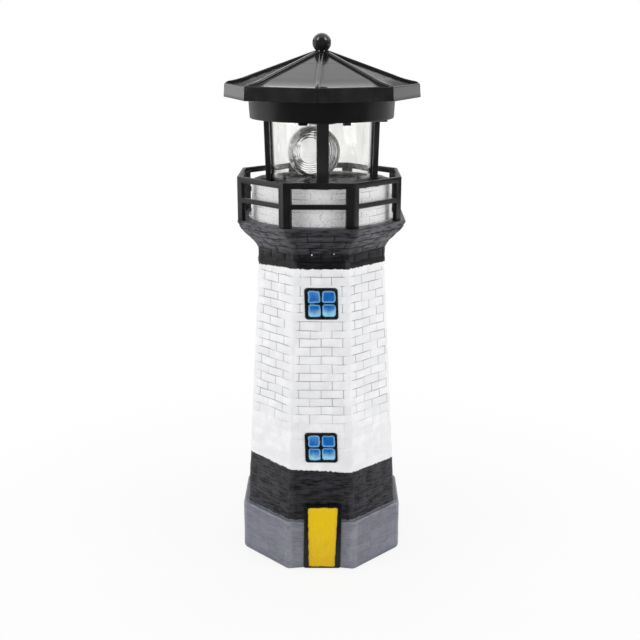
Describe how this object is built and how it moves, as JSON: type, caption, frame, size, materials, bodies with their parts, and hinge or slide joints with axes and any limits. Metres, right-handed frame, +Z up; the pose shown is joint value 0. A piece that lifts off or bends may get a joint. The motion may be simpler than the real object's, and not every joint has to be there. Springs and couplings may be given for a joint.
{
  "type": "garden lighthouse ornament",
  "caption": "Free-standing octagonal lighthouse garden light: a hollow tower with a gallery railing and a lift-off solar lantern head whose lens turns round a lamp.",
  "frame": {"origin": "centre of the footprint, on the surface that the tower stands on", "axes": "+Z up along the tower's axis, -Y out of the door"},
  "size_m": [0.0984, 0.0984, 0.27],
  "materials": {
    "cast_resin": "satin",
    "black_plastic": "satin",
    "black_gloss_plastic": "gloss",
    "clear_plastic": "gloss",
    "led_lens": "gloss",
    "solar_cell": "gloss",
    "white_plastic": "satin",
    "dark_plastic": "satin",
    "steel": "satin",
    "black_steel": "satin",
    "cell_wrap": "gloss",
    "board_laminate": "satin",
    "lead_insulation": "satin"
  },
  "bodies": {
    "tower": {"tower_casting": "cast_resin", "gallery_railing": "black_plastic"},
    "lantern_head": {"lantern_cage": "black_plastic", "lantern_glass": "clear_plastic", "housing_drum": "black_plastic", "housing_screws": "black_steel", "roof_shell": "black_gloss_plastic", "roof_finial": "black_gloss_plastic", "solar_panes": "solar_cell", "solar_leads": "lead_insulation", "battery_holder": "dark_plastic", "battery_cell": "cell_wrap", "battery_spring": "steel", "battery_contact": "steel", "battery_leads": "lead_insulation", "circuit_board": "board_laminate", "board_parts": "dark_plastic", "board_screws": "steel", "switch_body": "dark_plastic", "gear_plate": "white_plastic", "plate_screws": "steel", "motor_can": "steel", "motor_cap": "white_plastic", "motor_leads": "lead_insulation", "idler_pin": "steel", "led_stalk": "white_plastic", "led_lamp": "led_lens", "led_leads": "lead_insulation"},
    "switch_knob": {"switch_knob": "dark_plastic"},
    "rotor": {"rotor_gear": "white_plastic", "lens_carrier": "black_plastic", "lens_barrel": "clear_plastic", "fresnel_lens": "clear_plastic"},
    "idler": {"idler_gear": "white_plastic"},
    "motor_rotor": {"motor_shaft": "steel", "motor_pinion": "white_plastic"}
  },
  "joints": [
    {"name": "head_lift", "type": "slide", "parent": "tower", "child": "lantern_head", "axis": [0, 0, 1], "range_m": [0, 0.03]},
    {"name": "switch_slide", "type": "slide", "parent": "lantern_head", "child": "switch_knob", "axis": [0.9205, 0.3907, 0], "range_m": [0, 0.0024]},
    {"name": "rotor_spin", "type": "hinge", "parent": "lantern_head", "child": "rotor", "pos_m": [0, 0, 0.2332], "axis": [0, 0, 1], "continuous": true},
    {"name": "idler_spin", "type": "hinge", "parent": "lantern_head", "child": "idler", "pos_m": [-0.015, 0, 0.234], "axis": [0, 0, 1], "continuous": true},
    {"name": "motor_spin", "type": "hinge", "parent": "lantern_head", "child": "motor_rotor", "pos_m": [-0.00992, -0.01142, 0.2358], "axis": [0, 0, 1], "continuous": true}
  ],
  "couplings": [
    {"joint": "idler_spin", "follows": "rotor_spin", "ratio": -4},
    {"joint": "motor_spin", "follows": "rotor_spin", "ratio": 16}
  ]
}
